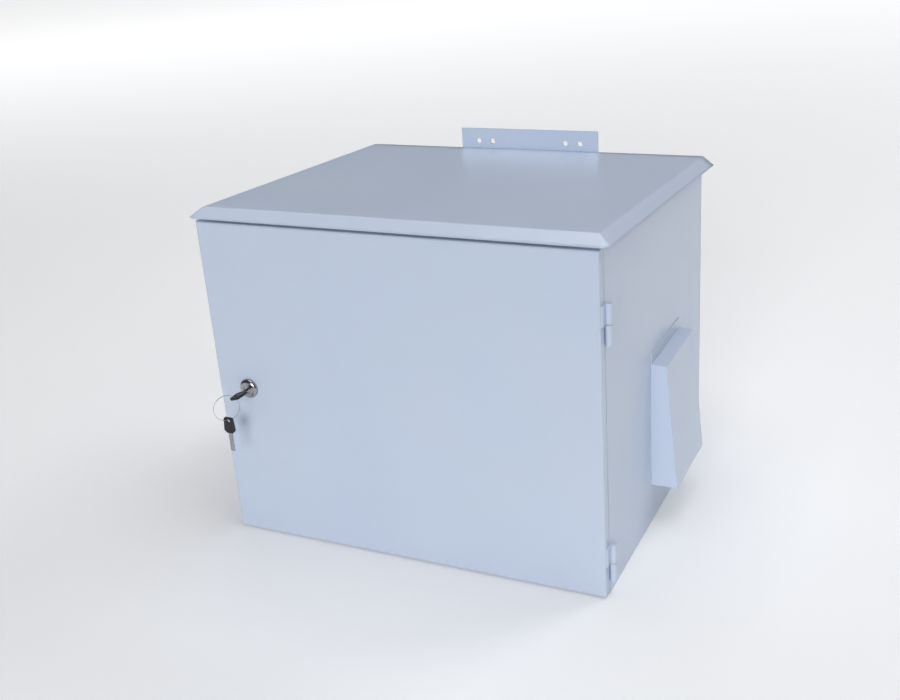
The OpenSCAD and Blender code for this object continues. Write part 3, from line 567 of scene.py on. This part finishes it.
# Each blade is a thin lens section that sweeps forward and flattens out from the hub to the tip.
def fanRotor(look):
    low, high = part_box("fan_impeller")
    centre = (low + high) / 2
    hubBack, hubFront = low.x + look["setBack"], high.x
    reach = np.linspace(0, 1, 18)[:, None]
    around = np.linspace(0, 2 * np.pi, 28, endpoint=False)[None]
    radius = look["hub"] - look["sunk"] + reach * (look["tip"] - look["hub"] + look["sunk"])
    pitch = np.radians(look["rootPitch"] + (look["tipPitch"] - look["rootPitch"]) * reach)
    chord = look["chord"] * (0.72 + 0.5 * reach)
    along = np.cos(around) * chord / 2
    thick = np.sin(around) * look["thick"] / 2 * (1 - 0.3 * reach)
    camber = look["camber"] * chord * (1 - (2 * along / chord) ** 2)
    depth = along * np.sin(pitch) + (thick + camber) * np.cos(pitch)
    sideways = along * np.cos(pitch) - (thick + camber) * np.sin(pitch)
    lean = sideways / radius + look["sweep"] * reach ** 1.5
    middle = (hubBack + hubFront) / 2 - centre.x
    room = (hubFront - hubBack) / 2 - look["clear"]
    depth = np.clip(depth, -room, room)
    meshes = []
    for i in range(look["blades"]):
        turn = lean + 2 * np.pi * i / look["blades"]
        points = np.stack([depth + middle, np.sin(turn) * radius, np.cos(turn) * radius], -1)
        meshes.append(gridMesh("blade", points, closeColumns=True, caps=True))
    # the hub is a turned cup: its outline carried round the shaft
    back, front, r = hubBack - centre.x, hubFront - centre.x, look["hub"]
    outline = np.array([
        [low.x - centre.x, 0], [low.x - centre.x, 2 * mm], [back, 2 * mm], [back, r - 0.6 * mm],
        [back + 0.6 * mm, r], [front - 1.6 * mm, r], [front - 0.5 * mm, r - 0.5 * mm],
        [front, r - 1.6 * mm], [front, 6 * mm], [front - 0.6 * mm, 5 * mm], [front - 0.6 * mm, 0],
    ])
    spin = np.linspace(0, 2 * np.pi, look["sides"], endpoint=False)[:, None]
    out = outline[None, :, 1]
    hub = np.stack([outline[None, :, 0] + 0 * spin, np.sin(spin) * out, np.cos(spin) * out], -1)
    meshes.append(gridMesh("hub", hub, closeRows=True))
    mesh = joined("fanRotor", meshes)
    mesh.transform(Matrix.Translation(centre))
    tidyMesh(mesh, 40)
    return addPiece("fanRotor", mesh, "fan_plastic", "fan_rotor", ["fan_impeller"])


fanRotor(fanLook)
print("fan made")


stageLook = {
    "floor": 4.0,      # radius of the floor; the backdrop carries on from there
    "flat": 12.0,      # radius where the backdrop starts to rise
    "sweep": 3.0,      # radius of the curve from floor to wall
    "wall": 7.0,       # height of the wall
    "sides": 96,
    "colour": (0.93, 0.94, 0.96),
    "speck": (0.95, 0.955, 0.97),
    "glowNear": 0.10,  # glow of the floor, and of the wall
    "glowFar": 0.70,
    "glowStart": 1.5,  # radius where the glow starts to grow, and where it is full
    "glowFull": 7.5,
}


def stageFinish(look):
    material, kit, where, shader = startFinish("paleStage", look["colour"], 0.9)
    # the glow is weak near the object and strong far out; on the floor disc it also lights the object as a
    # fill
    shader.inputs["Emission Strength"].default_value = 1.0
    away = kit.make("ShaderNodeVectorMath", {"operation": "LENGTH"}, {0: where}, "Value")
    share = kit.make(
        "ShaderNodeMapRange", {"interpolation_type": "SMOOTHSTEP"},
        {"Value": away, "From Min": look["glowStart"], "From Max": look["glowFull"]},
    )
    plug(kit, shader, {
        "Base Color": kit.blend(kit.noise(where, 2.0, 2.0), look["colour"], look["speck"]),
        "Emission Color": kit.blend(share, (look["glowNear"],) * 3, (look["glowFar"],) * 3),
    })
    return material


# A turned shape: an outline of radius and height carried round the middle, facing up and inwards.
def turnedStage(name, radius, height, sides, material):
    turn = np.linspace(0, 2 * np.pi, sides + 1)[:-1, None]
    points = np.stack([np.cos(turn) * radius, np.sin(turn) * radius, 0 * turn + height - 0.4 * mm], -1)
    mesh = gridMesh(name, points[:, ::-1], closeRows=True)
    mesh.materials.append(material)
    stage = bpy.data.objects.new(name, mesh)
    bpy.context.scene.collection.objects.link(stage)
    return stage


# A flat disc, then a flat ring that turns up a quarter circle into a wall. The backdrop shows
# behind the object but sends it no light. The floor disc glows faintly and so lights the object
# from below as a weak fill, beside the lamps.
def paleStage(look):
    material = stageFinish(look)
    disc = np.linspace(0.002, look["floor"], 9)
    turnedStage("paleFloor", disc, 0 * disc, look["sides"], material)
    ring = np.linspace(look["floor"], look["flat"], 13)
    bend = np.linspace(0, np.pi / 2, 13)[1:]
    sweep, wide = look["sweep"], look["flat"] + look["sweep"]
    radius = np.concatenate([ring, look["flat"] + sweep * np.sin(bend), [wide]])
    height = np.concatenate([0 * ring, sweep * (1 - np.cos(bend)), [look["wall"]]])
    backdrop = turnedStage("paleBackdrop", radius, height, look["sides"], material)
    backdrop.visible_diffuse = False
    backdrop.visible_glossy = False


lamps = [
    {"name": "frontBox", "place": (2.6, -13.8, 4.4), "aim": (0, 0, 0.25), "size": (6.4, 5.6), "power": 1120},
    {"name": "sideBox", "place": (4.4, -0.8, 4.4), "aim": (0, 0, 0.3), "size": (2.6, 2.6), "power": 24},
    {"name": "topBox", "place": (0.2, 0.2, 4.6), "aim": (0, 0.2, 0), "size": (3.4, 3.4), "power": 90},
    {"name": "backBox", "place": (3.2, 3.6, 4.4), "aim": (0, 0, 0.4), "size": (2.4, 2.4), "power": 76},
    {"name": "farBox", "place": (-2.6, 2.8, 4.5), "aim": (-3.3, 6.3, 0), "size": (3.0, 2.0), "power": 60},
]


def softLamp(look):
    light = bpy.data.lights.new(look["name"], "AREA")
    light.shape = "RECTANGLE"
    light.size, light.size_y = look["size"]
    light.energy = look["power"]
    lamp = bpy.data.objects.new(look["name"], light)
    lamp.location = look["place"]
    lamp.rotation_euler = (Vector(look["aim"]) - lamp.location).to_track_quat("-Z", "Y").to_euler()
    bpy.context.scene.collection.objects.link(lamp)


cameraLook = {
    "place": (0.744354, -1.544483, 0.944971),
    "azimuth": 0.4705481,
    "elevation": 0.3932394,
    "roll": -0.0754723,
    "lens": 47.0586,
    "sensor": 36,
    "farEnd": 120,
}


# The camera looks back along the direction given by azimuth and elevation, rolled about it.
def addCamera(look):
    azimuth, elevation = look["azimuth"], look["elevation"]
    back = Vector((
        math.sin(azimuth) * math.cos(elevation), -math.cos(azimuth) * math.cos(elevation), math.sin(elevation)
    ))
    right = Vector((0, 0, 1)).cross(back).normalized()
    up = back.cross(right)
    turned = Matrix((right, up, back)).transposed().to_4x4() @ Matrix.Rotation(look["roll"], 4, "Z")
    data = bpy.data.cameras.new("camera")
    data.lens = look["lens"]
    data.sensor_width = look["sensor"]
    data.clip_end = look["farEnd"]
    camera = bpy.data.objects.new("camera", data)
    camera.matrix_world = Matrix.Translation(look["place"]) @ turned
    bpy.context.scene.collection.objects.link(camera)
    bpy.context.scene.camera = camera


roomLook = {"colour": (0.93, 0.95, 1.0, 1), "strength": 0.08}


def softRoom(look):
    world = bpy.data.worlds.new("softRoom")
    world.use_nodes = True
    background = world.node_tree.nodes["Background"]
    background.inputs["Color"].default_value = look["colour"]
    background.inputs["Strength"].default_value = look["strength"]
    bpy.context.scene.world = world
    bpy.context.scene.view_settings.view_transform = "Standard"


softRoom(roomLook)
paleStage(stageLook)
for lamp in lamps:
    softLamp(lamp)
addCamera(cameraLook)
print("stage made")
